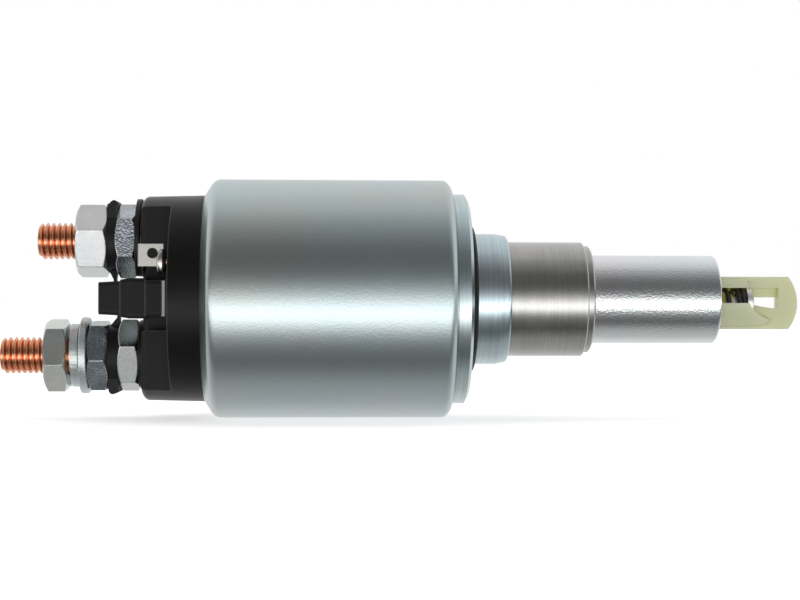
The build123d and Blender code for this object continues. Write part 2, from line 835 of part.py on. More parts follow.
def strip():
    """Tinned strip: an eye on the short stud and a tail bent down over the block's flat."""
    eye = Pos(0, stud_z) * Circle(strip_ring_radius)
    tail_low, tail_high = strip_centre - strip_width / 2, strip_centre + strip_width / 2
    outer_y = -flat_offset - strip_thickness
    arm = Pos(outer_y / 2, strip_centre) * Rectangle(-outer_y, strip_width)
    flat = plate_outline(short_washer_x, block_face, eye + arm)
    tail_end = block_face + strip_tail
    tail = block(short_washer_x, tail_end, outer_y, -flat_offset, tail_low, tail_high)
    body = flat + tail
    bend = body.edges().filter_by(Axis.Z).filter_by(
        lambda e: abs(e.center().X - short_washer_x) < 1e-3 and abs(e.center().Y - outer_y) < 1e-3)
    body = fillet(bend, 0.6)
    body -= tube(short_washer_x - 1, block_face + 1, shank_thread_radius + slip, z=stud_z)
    hole = Pos(block_face + strip_hole_back, -flat_offset, strip_centre + 0.5) * Rot(90, 0, 0)
    return body - hole * Cylinder(strip_hole_radius, 3)


def solder_joint(strip_solid, leads):
    """Drop of solder over the strip's end and the winding's lead."""
    a, b, c = solder_size
    y, z = lead_places()[0]
    drop = Pos(block_face + strip_tail - solder_inset, y, z) * scale(Sphere(1), by=(a, b, c))
    return drop - strip_solid - leads


def rounded_section(x, half, corner):
    """A rounded rectangle across X, centred on the connector, from its half width and height."""
    sketch = RectangleRounded(2 * half[0], 2 * half[1], corner)
    return Plane((x, connector_y, 0), x_dir=(0, 1, 0), z_dir=(1, 0, 0)) * sketch


def shroud():
    """Moulded connector housing: a base, a tall shoulder, a step and a tapered nozzle."""
    base = extrude(rounded_section(base_x, shroud_base_half, shroud_round), shroud_base)
    tall = extrude(rounded_section(shoulder_end_x, shroud_shoulder_half, shroud_round), shroud_shoulder)
    step = loft([
        rounded_section(nozzle_x, shroud_step_half, shroud_round),
        rounded_section(shoulder_end_x, shroud_shoulder_half, shroud_round),
    ])
    nozzle = loft([
        rounded_section(mouth_x, shroud_mouth_half, shroud_round),
        rounded_section(nozzle_x, shroud_nozzle_half, shroud_round),
    ])
    body = base + tall + step + nozzle
    cavity_end = base_x - 1.0
    body -= extrude(rounded_section(mouth_x, shroud_cavity_half, 0.5), cavity_end - mouth_x)
    blade_slot = (plate_sheet / 2 + slip, blade_width / 2 + slip)
    body -= block(cavity_end, plate_x, connector_y - blade_slot[0], connector_y + blade_slot[0],
                  -blade_slot[1], blade_slot[1])
    return body


def blade_terminal():
    """Tinned base plate on the cap's pad, with the blade standing on it."""
    y0, y1 = connector_y - plate_half[0], connector_y + plate_half[0]
    body = block(plate_x, pad_x, y0, y1, -plate_half[1], plate_half[1])
    tip = 1.0
    blade_outline = Polyline(
        (plate_x, -blade_width / 2),
        (blade_tip_x + tip, -blade_width / 2),
        (blade_tip_x, -blade_width / 2 + tip),
        (blade_tip_x, blade_width / 2 - tip),
        (blade_tip_x + tip, blade_width / 2),
        (plate_x, blade_width / 2),
        close=True,
    )
    blade = Pos(0, connector_y, 0) * extrude(Plane.XZ * make_face(blade_outline), plate_sheet / 2, both=True)
    body += blade
    y, z = terminal_lead_at
    return body - tube(plate_x - 1, pad_x + 1, lead_radius + slip, y=y, z=z)


def build():
    """All pieces by name."""
    strip_solid = strip()
    leads = winding_leads()
    return {
        "case": case(),
        "front_plate": front_plate(),
        "o_ring": o_ring(),
        "guide_sleeve": guide_sleeve(),
        "bobbin": bobbin(),
        "pull_in_winding": winding(tube_radius + coil_gap, pull_in_radius),
        "hold_in_winding": winding(pull_in_radius + coil_gap, hold_in_radius),
        "winding_wrap": tube(bobbin_back + bobbin_flange + coil_gap, bobbin_front - bobbin_flange - coil_gap,
                             wrap_radius, hold_in_radius + slip),
        "winding_leads": leads,
        "bobbin_gasket": bobbin_gasket(),
        "core": core(),
        "armature": armature(),
        "nose": nose(),
        "hook": hook(),
        "release_spring": coil(spring_bore_floor, seat_back, release_coil_radius, release_wire,
                               release_turns, -hook_drop),
        "spring_seat": spring_seat(),
        "return_spring": coil(pole_face - core_pocket, armature_floor, return_coil_radius, return_wire,
                              return_turns),
        "push_rod": push_rod(),
        "rod_clip": rod_clip(),
        "contact_bridge": contact_bridge(),
        "bridge_bush": bridge_bush(),
        "bridge_washer": bridge_washer(),
        "contact_spring": coil(bridge_front + bush_flange, shoulder_back, contact_coil_radius, contact_wire,
                               contact_turns),
        "contact_return_spring": coil(push_back_floor, clip_back, push_back_coil_radius, push_back_wire,
                                      push_back_turns),
        "cap": cap(),
        "cap_seal": cap_seal(),
        "short_stud": stud(1, short_nut_end, short_stud_end),
        "long_stud": stud(-1, outer_nut_end, long_stud_end),
        "short_stud_inner_nut": nut(short_inner_nut_x, thin_nut, stud_z, 55),
        "short_stud_nut": nut(short_nut_x, full_nut, stud_z, 15),
        "long_stud_inner_nut": nut(long_inner_nut_x, thin_nut, -stud_z, 15),
        "long_stud_middle_nut": nut(middle_nut_x, thin_nut, -stud_z, 37),
        "long_stud_outer_nut": nut(outer_nut_x, outer_nut, -stud_z, 44),
        "insulating_washers": insulating_washers(),
        "strap": strap(),
        "flat_washer": flat_washer(),
        "spring_washer": spring_washer(),
        "strip": strip_solid,
        "solder_joint": solder_joint(strip_solid, leads),
        "shroud": shroud(),
        "blade_terminal": blade_terminal(),
    }


for name, solid in build().items():
    export_step(solid, f"parts/{name}.step")
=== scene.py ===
# %% [markdown]
# # Dressing a starter solenoid
# The solids come from a CAD model and stay as they are. This lesson gives each of them a finish,
# and models again the few pieces whose detail the CAD leaves out: the threads on the copper studs,
# and the coil springs, which have to shorten as the pieces beside them move.
# X runs along the armature to the hook, Z is up, and the camera looks along Y. Lengths are metres.

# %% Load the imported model
from math import cos, hypot, pi, radians, sin

import bpy
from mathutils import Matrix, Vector


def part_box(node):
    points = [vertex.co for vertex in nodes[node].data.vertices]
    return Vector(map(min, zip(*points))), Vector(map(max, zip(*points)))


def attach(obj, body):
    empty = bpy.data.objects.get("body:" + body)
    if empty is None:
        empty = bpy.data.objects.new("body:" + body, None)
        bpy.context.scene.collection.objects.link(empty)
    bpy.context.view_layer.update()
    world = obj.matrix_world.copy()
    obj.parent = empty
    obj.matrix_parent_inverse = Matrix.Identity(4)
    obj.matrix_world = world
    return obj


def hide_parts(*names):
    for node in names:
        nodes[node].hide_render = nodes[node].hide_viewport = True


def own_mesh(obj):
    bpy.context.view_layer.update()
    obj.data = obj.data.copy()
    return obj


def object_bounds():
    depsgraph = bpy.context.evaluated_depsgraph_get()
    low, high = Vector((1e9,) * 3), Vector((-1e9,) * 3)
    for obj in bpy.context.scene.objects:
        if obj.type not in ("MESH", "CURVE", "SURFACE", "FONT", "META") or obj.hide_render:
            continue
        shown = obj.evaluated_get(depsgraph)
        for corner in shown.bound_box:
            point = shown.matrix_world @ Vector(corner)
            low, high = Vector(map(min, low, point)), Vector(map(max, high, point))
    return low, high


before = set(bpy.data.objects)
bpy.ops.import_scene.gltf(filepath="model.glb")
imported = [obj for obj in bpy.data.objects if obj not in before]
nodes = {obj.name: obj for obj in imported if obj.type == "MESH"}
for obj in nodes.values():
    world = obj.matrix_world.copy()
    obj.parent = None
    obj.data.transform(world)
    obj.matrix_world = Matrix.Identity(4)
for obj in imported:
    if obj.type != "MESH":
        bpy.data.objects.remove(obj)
cad_box = [list(corner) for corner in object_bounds()]
mm = 0.001

# %% [markdown]
# ## Helpers for selecting
# An operator works on whatever is selected, and the import leaves the whole model selected. So
# everything is deselected before a new piece is started, and one piece is made active at a time.

# %% Select, join and settle
MERGE_DISTANCE = 1e-6  # points nearer than this become one


def deselect_all():
    """Nothing selected, in object mode."""
    if bpy.context.mode != "OBJECT":
        bpy.ops.object.mode_set(mode="OBJECT")
    bpy.ops.object.select_all(action="DESELECT")


def only(piece):
    """This piece selected and active, and no other."""
    deselect_all()
    piece.select_set(True)
    bpy.context.view_layer.objects.active = piece


def join_pieces(pieces, name):
    """Several meshes made one piece."""
    only(pieces[0])
    for piece in pieces[1:]:
        piece.select_set(True)
    bpy.ops.object.join()
    pieces[0].name = name
    return pieces[0]


def settle(piece, smooth_angle):
    """The place moved into the mesh, the faces turned outwards and the shading smoothed by angle."""
    only(piece)
    bpy.ops.object.transform_apply(location=True, rotation=True, scale=True)
    bpy.ops.object.mode_set(mode="EDIT")
    bpy.ops.mesh.select_all(action="SELECT")
    bpy.ops.mesh.remove_doubles(threshold=MERGE_DISTANCE)
    bpy.ops.mesh.normals_make_consistent(inside=False)
    bpy.ops.object.mode_set(mode="OBJECT")
    bpy.ops.object.shade_smooth_by_angle(angle=radians(smooth_angle))
    return piece


deselect_all()
print("selected now:", len(bpy.context.selected_objects))

# %% [markdown]
# ## Springs
# A coil spring is one wire wound round an axis, here right-handed. Its first and last turns lie
# against each other, so that the spring stands square in its seat, and the turns between are open.
# A curve through points of a helix with a round bevel gives the wire an even thickness, whatever
# the pitch, which a Screw modifier wouldn't do where the pitch changes.

# %% The wire's line
POINTS_PER_TURN = 20
TOUCHING_PITCH = 2.04  # in wire radii: 2 is touching, and a little more keeps the turns apart


def height_after(turn, turns, closed_turns, pitch_closed, pitch_open):
    """How far along the axis the wire is after this many turns."""
    first = min(turn, closed_turns)
    last = max(turn - (turns - closed_turns), 0)
    return pitch_closed * (first + last) + pitch_open * (turn - first - last)


def wind_wire(name, low, high, wire_radius, turns, closed_turns, start_angle):
    """A curve with a round bevel that winds through the space between two corners."""
    coil_radius = (high.y - low.y) / 2 - wire_radius
    centre_z = (low.z + high.z) / 2
    length = high.x - low.x - 2 * wire_radius
    pitch_closed = TOUCHING_PITCH * wire_radius
    pitch_open = (length - 2 * closed_turns * pitch_closed) / (turns - 2 * closed_turns)
    curve = bpy.data.curves.new(name, "CURVE")
    curve.dimensions = "3D"
    curve.bevel_depth = wire_radius
    curve.bevel_resolution = 3
    curve.use_fill_caps = True
    spline = curve.splines.new("POLY")
    count = int(turns * POINTS_PER_TURN) + 1
    spline.points.add(count - 1)
    for i in range(count):
        turn = i / POINTS_PER_TURN
        angle = start_angle + 2 * pi * turn
        x = low.x + wire_radius + height_after(turn, turns, closed_turns, pitch_closed, pitch_open)
        spline.points[i].co = (x, -coil_radius * sin(angle), centre_z + coil_radius * cos(angle), 1)
    return curve


print("helix helpers ready,", POINTS_PER_TURN, "points a turn")

# %% [markdown]
# The release spring is the one that shows, in the hook: its start angle puts the last turn where
# the photograph has it, right beside the bright seat.

# %% Make the four springs
SPRING_SMOOTH_ANGLE = 60


def make_spring(node, wire_radius, turns, body,
                start_angle=0.0, closed_turns=1.0):
    """A wound wire in the space of a CAD spring, attached to a body."""
    low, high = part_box(node)
    curve = wind_wire(node + "_wire", low, high, wire_radius, turns, closed_turns, start_angle)
    piece = bpy.data.objects.new(node + "_coil", curve)
    bpy.context.scene.collection.objects.link(piece)
    only(piece)
    bpy.ops.object.convert(target="MESH")
    piece = settle(bpy.context.view_layer.objects.active, SPRING_SMOOTH_ANGLE)
    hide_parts(node)
    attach(piece, body)
    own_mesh(piece)
    return piece


springs = {
    "release_spring": make_spring(
        "release_spring", 0.65 * mm, 10.3,
        body="plunger", start_angle=radians(352), closed_turns=1.1),
    "return_spring": make_spring(
        "return_spring", 0.75 * mm, 8,
        body="housing"),
    "contact_return_spring": make_spring(
        "contact_return_spring", 0.5 * mm, 4.5,
        body="housing"),
    "contact_spring": make_spring(
        "contact_spring", 0.6 * mm, 5, body="rod"),
}
for name, piece in springs.items():
    print(name, len(piece.data.polygons), "faces")

# %% [markdown]
# ## Threaded studs
# The studs are copper bolts with a rolled M10 thread. The CAD keeps them plain. A thread is one
# ridge that climbs round a core, so a small flat section is given a Screw modifier about X. The
# core is a cylinder with a bevelled tip.

# %% Core of a stud
THREAD_PITCH = 1.5 * mm
THREAD_DEPTH = 0.82 * mm
CREST_RADIUS = 4.78 * mm
CORE_BEVEL = 0.35 * mm
ROUND_SIDES = 48


def make_rod(x0, x1, radius, z):
    """A closed cylinder along X."""
    deselect_all()
    bpy.ops.mesh.primitive_cylinder_add(
        vertices=ROUND_SIDES, radius=radius, depth=x1 - x0, location=((x0 + x1) / 2, 0, z),
        rotation=(0, pi / 2, 0))
    rod = bpy.context.active_object
    bpy.ops.object.transform_apply(location=True, rotation=True, scale=True)
    return rod


def make_core(x0, x1, z):
    """The stud under its thread: a rod whose end at x0 is bevelled."""
    core = make_rod(x0, x1, CREST_RADIUS - THREAD_DEPTH, z)
    for face in core.data.polygons:
        face.select = abs(face.center.x - x0) < MERGE_DISTANCE
    bpy.ops.object.mode_set(mode="EDIT")
    bpy.ops.mesh.select_mode(type="FACE")
    bpy.ops.mesh.bevel(offset=CORE_BEVEL, segments=3, affect="EDGES")
    bpy.ops.object.mode_set(mode="OBJECT")
    return core


print("thread root radius in mm:", round((CREST_RADIUS - THREAD_DEPTH) / mm, 2))

# %% [markdown]
# The ridge's section is a plane whose four points are listed: two on the root, a little inside the
# core, and two on the narrow crest. After the Screw is applied, points near the tip are moved in,
# so that the thread runs out on the tip's bevel as a rolled thread does.

# %% Ridge of a thread
CREST_START, CREST_END, ROOT_END = 0.40, 0.58, 0.98  # along the section, in pitches
ROOT_SUNK = 0.1 * mm
TIP_LENGTH = 1.0 * mm
TIP_SLOPE = 0.9
TURN_STEPS = 40


def make_ridge(x0, x1, z):
    """The helical ridge between x0 and x1: one section, screwed about the stud's axis."""
    turns = (x1 - x0) / THREAD_PITCH - 1
    root = CREST_RADIUS - THREAD_DEPTH - ROOT_SUNK
    deselect_all()
    bpy.ops.mesh.primitive_plane_add(size=1 * mm)
    ridge = bpy.context.active_object
    section = [(0, root), (ROOT_END, root), (CREST_START, CREST_RADIUS), (CREST_END, CREST_RADIUS)]
    for vertex, (pitches, radius) in zip(ridge.data.vertices, section):
        vertex.co = (x0 + THREAD_PITCH * pitches, 0, radius)
    only(ridge)
    bpy.ops.object.mode_set(mode="EDIT")
    bpy.ops.mesh.select_all(action="SELECT")
    bpy.ops.mesh.subdivide(number_cuts=1)
    bpy.ops.object.mode_set(mode="OBJECT")
    screw = ridge.modifiers.new("turns", "SCREW")
    screw.axis = "X"
    screw.angle = 2 * pi * turns
    screw.screw_offset = THREAD_PITCH * turns
    screw.steps = screw.render_steps = int(TURN_STEPS * turns)
    screw.use_merge_vertices = False
    bpy.ops.object.modifier_apply(modifier=screw.name)
    for vertex in ridge.data.vertices:
        radius = hypot(vertex.co.y, vertex.co.z)
        inside_tip = TIP_LENGTH - (vertex.co.x - x0)
        limit = CREST_RADIUS - max(inside_tip, 0) * TIP_SLOPE
        if radius > limit:
            vertex.co.y *= limit / radius
            vertex.co.z *= limit / radius
    ridge.location.z = z
    return ridge


print("thread pitch in mm:", THREAD_PITCH / mm)

# %% [markdown]
# The head that clamps the cap from inside is a block with its edges rounded. Core, ridge, the
# plain shank inside the cap and the head are joined, and the whole stands for the CAD stud.

# %% Make the two studs
STUD_Z = 15 * mm
SHANK_RADIUS = 4.5 * mm
HEAD_THICKNESS = 4.5 * mm
HEAD_BEVEL = 0.4 * mm
THREAD_PAST_NUT = 2 * THREAD_PITCH
STUD_OVERLAP = 0.5 * mm
SHANK_SHIFT = 0.2 * mm
TIP_GAP = 0.02 * mm
STUD_SMOOTH_ANGLE = 50


def make_head(x0, x1, low, high):
    """A rounded block between x0 and x1, as wide and tall as the CAD stud's head."""
    deselect_all()
    bpy.ops.mesh.primitive_cube_add(size=1, location=((x0 + x1) / 2, 0, (low.z + high.z) / 2))
    head = bpy.context.active_object
    head.scale = (x1 - x0, high.y - low.y, high.z - low.z)
    bpy.ops.object.transform_apply(location=True, rotation=True, scale=True)
    bpy.ops.object.mode_set(mode="EDIT")
    bpy.ops.mesh.select_all(action="SELECT")
    bpy.ops.mesh.bevel(offset=HEAD_BEVEL, segments=2, affect="EDGES")
    bpy.ops.object.mode_set(mode="OBJECT")
    return head


def make_stud(node, last_nut):
    """One threaded stud that stands for the CAD stud."""
    low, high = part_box(node)
    z = STUD_Z if high.z > 0 else -STUD_Z
    thread_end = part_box(last_nut)[0].x + THREAD_PAST_NUT
    head_back = high.x - HEAD_THICKNESS
    core = make_core(low.x, head_back + STUD_OVERLAP, z)
    ridge = make_ridge(low.x + TIP_GAP, thread_end, z)
    shank = make_rod(thread_end + SHANK_SHIFT, head_back + SHANK_SHIFT, SHANK_RADIUS, z)
    head = make_head(head_back, high.x, low, high)
    stud = settle(join_pieces([core, ridge, shank, head], node + "_threaded"), STUD_SMOOTH_ANGLE)
    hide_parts(node)
    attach(stud, "housing")
    return stud


studs = [make_stud("short_stud", "short_stud_nut"), make_stud("long_stud", "long_stud_outer_nut")]
for piece in studs:
    print(piece.name, len(piece.data.polygons), "faces")

# %% [markdown]
# ## Effects that several finishes share
# Four node groups carry what plated, turned and moulded surfaces have in common. Each puts out
# only a colour, a mask or a height, so a material decides for itself what to do with it. First
# come short functions for the nodes that the groups and the materials are made of.

# %% Start a node group
def start_group(name, inputs, outputs):
    """A shader node group with float inputs and outputs by name."""
    group = bpy.data.node_groups.new(name, "ShaderNodeTree")
    for socket_name, value in inputs.items():
        socket = group.interface.new_socket(socket_name, in_out="INPUT", socket_type="NodeSocketFloat")
        socket.default_value = value
    for socket_name, kind in outputs.items():
        group.interface.new_socket(socket_name, in_out="OUTPUT", socket_type="NodeSocket" + kind)
    return group, group.nodes.new("NodeGroupInput"), group.nodes.new("NodeGroupOutput")


def feed(tree, socket, value):
    """A number set on an input socket, or another node's output linked to it."""
    if isinstance(value, (int, float)):
        socket.default_value = value
    else:
        tree.links.new(value, socket)


print("group helpers ready")

# %% Nodes that calculate
def math_node(tree, operation, *values, clamp=False):
    """A Math node fed by numbers or sockets; returns its output."""
    node = tree.nodes.new("ShaderNodeMath")
    node.operation = operation
    node.use_clamp = clamp
    for socket, value in zip(node.inputs, values):
        feed(tree, socket, value)
    return node.outputs[0]


def map_range(tree, value, from_low, from_high, to_low=0.0, to_high=1.0):
    """A Map Range node from numbers or sockets; returns its output."""
    node = tree.nodes.new("ShaderNodeMapRange")
    for socket, item in zip(node.inputs, (value, from_low, from_high, to_low, to_high)):
        feed(tree, socket, item)
    return node.outputs[0]


print("calculating helpers ready")

# %% Nodes that make patterns
EVEN = (1, 1, 1)


def object_coordinates(tree, scale=EVEN):
    """Object coordinates, stretched per axis."""
    place = tree.nodes.new("ShaderNodeTexCoord")
    mapping = tree.nodes.new("ShaderNodeMapping")
    mapping.inputs["Scale"].default_value = scale
    tree.links.new(place.outputs["Object"], mapping.inputs["Vector"])
    return mapping.outputs[0]


def noise(tree, vector, scale, detail=3.0, roughness=0.55):
    """A Noise texture; returns its value."""
    node = tree.nodes.new("ShaderNodeTexNoise")
    node.inputs["Detail"].default_value = detail
    node.inputs["Roughness"].default_value = roughness
    feed(tree, node.inputs["Scale"], scale)
    tree.links.new(vector, node.inputs["Vector"])
    return node.outputs["Fac"]


print("pattern helpers ready")

# %% [markdown]
# Wear and painted highlight on edges: where plating or moulding turns a sharp corner, it is
# polished or rubbed, and on the black moulding the lighter edge colour is also a painted highlight,
# the light that its rounded edges catch. A Bevel node averages the normals within a small radius.
# Far from an edge they equal the true normal, so one minus their dot product is a mask of the edges.

# %% Group: wear and painted highlight at the edges
BEVEL_SAMPLES = 4

wear_and_highlight_group, wear_and_highlight_in, wear_and_highlight_out = start_group(
    "edge wear and painted highlight", {"Radius": 0.0004, "Contrast": 6.0}, {"Mask": "Float"})
bevel = wear_and_highlight_group.nodes.new("ShaderNodeBevel")
bevel.samples = BEVEL_SAMPLES
geometry = wear_and_highlight_group.nodes.new("ShaderNodeNewGeometry")
dot = wear_and_highlight_group.nodes.new("ShaderNodeVectorMath")
dot.operation = "DOT_PRODUCT"
wear_and_highlight_group.links.new(wear_and_highlight_in.outputs["Radius"], bevel.inputs["Radius"])
wear_and_highlight_group.links.new(bevel.outputs["Normal"], dot.inputs[0])
wear_and_highlight_group.links.new(geometry.outputs["Normal"], dot.inputs[1])
difference = math_node(wear_and_highlight_group, "SUBTRACT", 1.0, dot.outputs["Value"])
mask = math_node(wear_and_highlight_group, "MULTIPLY", difference, wear_and_highlight_in.outputs["Contrast"], clamp=True)
wear_and_highlight_group.links.new(mask, wear_and_highlight_out.inputs["Mask"])
print(wear_and_highlight_group.name, "group:", len(wear_and_highlight_group.nodes), "nodes")

# %% [markdown]
# Turned lines: a lathe tool leaves rings round the axis. Noise that is stretched so far that it
# changes almost only along X gives rings of uneven depth. A second, slower noise breaks them up.

# %% Group: turned lines
RING_STRETCH = (1, 0.012, 0.012)
WANDER_SCALE = 90.0
WANDER_SHARE = 0.25

turned_group, turned_in, turned_out = start_group(
    "turned lines", {"Lines per metre": 4000.0}, {"Height": "Float"})
along_axis = object_coordinates(turned_group, RING_STRETCH)
rings = noise(turned_group, along_axis, turned_in.outputs["Lines per metre"], detail=2.0, roughness=0.8)
wander = noise(turned_group, object_coordinates(turned_group), WANDER_SCALE)
height = math_node(turned_group, "MULTIPLY_ADD", wander, WANDER_SHARE, rings)
turned_group.links.new(height, turned_out.inputs["Height"])
print(turned_group.name, "group:", len(turned_group.nodes), "nodes")

# %% [markdown]
# Mottle: no real surface is one colour. Two noises of different size, added and centred on one,
# multiply a colour or a roughness without changing its average.

# %% Group: mottle
FINE_PER_BROAD = 14.0
FINE_SHARE = 0.5
MOTTLE_MIDDLE = 0.75  # the average of the broad noise and of the fine noise's share

mottle_group, mottle_in, mottle_out = start_group(
    "mottle", {"Scale": 60.0, "Amount": 0.2}, {"Factor": "Float", "Fine": "Float"})
anywhere = object_coordinates(mottle_group)
broad = noise(mottle_group, anywhere, mottle_in.outputs["Scale"], detail=3.0)
fine_scale = math_node(mottle_group, "MULTIPLY", mottle_in.outputs["Scale"], FINE_PER_BROAD)
fine = noise(mottle_group, anywhere, fine_scale, detail=2.0)
both = math_node(mottle_group, "MULTIPLY_ADD", fine, FINE_SHARE, broad)
centred = math_node(mottle_group, "SUBTRACT", both, MOTTLE_MIDDLE)
factor = math_node(mottle_group, "MULTIPLY_ADD", centred, mottle_in.outputs["Amount"], 1.0)
mottle_group.links.new(factor, mottle_out.inputs["Factor"])
mottle_group.links.new(fine, mottle_out.inputs["Fine"])
print(mottle_group.name, "group:", len(mottle_group.nodes), "nodes")

# %% [markdown]
# Plating tint: zinc that has been passivated shows faint rainbow tints, blue over most of the
# surface with patches of straw and lilac. A slow noise chooses between the three.

# %% Group: plating tint
STRAW, BLUE, LILAC = (1.05, 1.00, 0.94, 1), (0.97, 1.00, 1.02, 1), (1.03, 0.975, 1.02, 1)

tint_group, tint_in, tint_out = start_group("plating tint", {"Scale": 30.0}, {"Color": "Color"})
drift = noise(tint_group, object_coordinates(tint_group), tint_in.outputs["Scale"], detail=1.5)
ramp = tint_group.nodes.new("ShaderNodeValToRGB")
straw_stop, lilac_stop = ramp.color_ramp.elements
straw_stop.position, straw_stop.color = 0.30, STRAW
lilac_stop.position, lilac_stop.color = 0.70, LILAC
ramp.color_ramp.elements.new(0.50).color = BLUE
tint_group.links.new(drift, ramp.inputs["Fac"])
tint_group.links.new(ramp.outputs["Color"], tint_out.inputs["Color"])
print(tint_group.name, "group:", len(tint_group.nodes), "nodes")

# %% [markdown]
# ## One builder for all finishes
# A finish is built from a few values: colour, metal or not, roughness, how much the surface is
# mottled, turned or worn, and how deep its relief is. What is the same all over goes straight to
# the shader's own sockets. What changes over the surface comes from the groups.

# %% Colour nodes
MIX_A, MIX_B, MIX_RESULT = 6, 7, 2  # a Mix node's colour sockets, by number as names repeat


def add_group(tree, group, values):
    """A group placed in a material, with its own values."""
    node = tree.nodes.new("ShaderNodeGroup")
    node.node_tree = group
    for socket_name, value in values.items():
        node.inputs[socket_name].default_value = value
    return node


def vector_node(tree, operation, first):
    """A Vector Math node whose first input is a colour, plain or from a socket."""
    node = tree.nodes.new("ShaderNodeVectorMath")
    node.operation = operation
    if isinstance(first, tuple):
        node.inputs[0].default_value = first
    else:
        tree.links.new(first, node.inputs[0])
    return node


def mixed_color(tree, factor, first, second):
    """Two colours mixed by a factor."""
    node = tree.nodes.new("ShaderNodeMix")
    node.data_type = "RGBA"
    tree.links.new(factor, node.inputs["Factor"])
    for socket, value in ((node.inputs[MIX_A], first), (node.inputs[MIX_B], second)):
        if isinstance(value, tuple):
            socket.default_value = (*value, 1)
        else:
            tree.links.new(value, socket)
    return node.outputs[MIX_RESULT]


print("colour helpers ready")

# %% [markdown]
# The colour is multiplied by the mottle, and on turned pieces by the lines too, because a ring
# that is cut deeper looks darker. The relief is one height, the sum of what the finish has, and
# goes through a Bump node. A Bevel node behind it makes sharp edges catch the light as if they
# were slightly round.

# %% Colour and relief of a finish
STREAK_MIDDLE = 0.62  # the average height of the turned lines
GRAIN_DETAIL = 1.0


def varied_color(tree, color, spots, lines, streak, tint):
    """The colour with its spots, the streaks of the turned lines and the tint of the plating."""
    shade = spots.outputs["Factor"]
    if lines:
        offset = math_node(tree, "SUBTRACT", lines.outputs["Height"], STREAK_MIDDLE)
        shade = math_node(tree, "MULTIPLY_ADD", offset, streak, shade)
    scaled = vector_node(tree, "SCALE", color)
    tree.links.new(shade, scaled.inputs["Scale"])
    if not tint:
        return scaled.outputs[0]
    tints = add_group(tree, tint_group, {"Scale": tint})
    tinted = vector_node(tree, "MULTIPLY", scaled.outputs[0])
    tree.links.new(tints.outputs["Color"], tinted.inputs[1])
    return tinted.outputs[0]


def relief_normal(tree, spots, relief, lines, line_depth, grain, rounding):
    """The normal of a surface with its fine relief, turned lines, grain and rounded edges."""
    height = math_node(tree, "MULTIPLY", spots.outputs["Fine"], relief)
    if lines:
        height = math_node(tree, "MULTIPLY_ADD", lines.outputs["Height"], line_depth, height)
    if grain:
        cells_per_metre, grain_depth = grain
        cells = noise(tree, object_coordinates(tree), cells_per_metre, detail=GRAIN_DETAIL)
        height = math_node(tree, "MULTIPLY_ADD", cells, grain_depth, height)
    bump = tree.nodes.new("ShaderNodeBump")
    bump.inputs["Distance"].default_value = 1.0
    tree.links.new(height, bump.inputs["Height"])
    if rounding:
        rounded = tree.nodes.new("ShaderNodeBevel")
        rounded.samples = BEVEL_SAMPLES
        rounded.inputs["Radius"].default_value = rounding
        tree.links.new(rounded.outputs["Normal"], bump.inputs["Normal"])
    return bump.outputs["Normal"]


print("surface helpers ready")

# %% Finish builder
def finish(name, color, metallic=0.0, roughness=0.4, mottle=(60.0, 0.2), turned=None, relief=1e-5,
           wear=None, tint=None, grain=None, rounding=0.0, constants=()):
    """A material. mottle is (scale, amount); turned is (lines per metre, depth, streak of the
    colour); relief is the depth of the mottle's fine part; wear is (radius, contrast, colour,
    roughness) of the edges, whose colour is rubbed plating or moulding, and on the black moulding
    partly a painted highlight; tint is the scale of the plating tint; grain is (cells per metre,
    depth) of a pebbled relief; rounding is the radius that sharp edges seem to have in the light;
    constants go to the shader's own sockets."""
    material = bpy.data.materials.new(name)
    material.use_nodes = True
    tree = material.node_tree
    shader = tree.nodes["Principled BSDF"]
    shader.inputs["Metallic"].default_value = metallic
    for socket_name, value in constants:
        shader.inputs[socket_name].default_value = value

    spots = add_group(tree, mottle_group, {"Scale": mottle[0], "Amount": mottle[1]})
    lines_per_metre, line_depth, streak = turned or (0.0, 0.0, 0.0)
    lines = add_group(tree, turned_group, {"Lines per metre": lines_per_metre}) if turned else None
    surface = varied_color(tree, color, spots, lines, streak, tint)
    rough = math_node(tree, "MULTIPLY", spots.outputs["Factor"], roughness, clamp=True)
    # The edge colour is rubbed plating or moulding, and on the black moulding partly a painted
    # highlight.
    if wear:
        radius, contrast, wear_and_highlight_color, worn_roughness = wear
        wear_and_highlight = add_group(tree, wear_and_highlight_group, {"Radius": radius, "Contrast": contrast})
        surface = mixed_color(tree, wear_and_highlight.outputs["Mask"], surface, wear_and_highlight_color)
        rough = map_range(tree, wear_and_highlight.outputs["Mask"], 0.0, 1.0, rough, worn_roughness)
    tree.links.new(surface, shader.inputs["Base Color"])
    tree.links.new(rough, shader.inputs["Roughness"])
    normal = relief_normal(tree, spots, relief, lines, line_depth, grain, rounding)
    tree.links.new(normal, shader.inputs["Normal"])
    return material


finishes = {}
print("finish builder ready")

# %% [markdown]
# ## Steel and zinc
# The can is rolled sheet with satin zinc, and its fine grain spreads the highlight a little. The
# front plate is turned and plated, so it shows rings. The nose is bright zinc over a slightly
# uneven skin. The armature is ground steel without plating, darker and warmer.

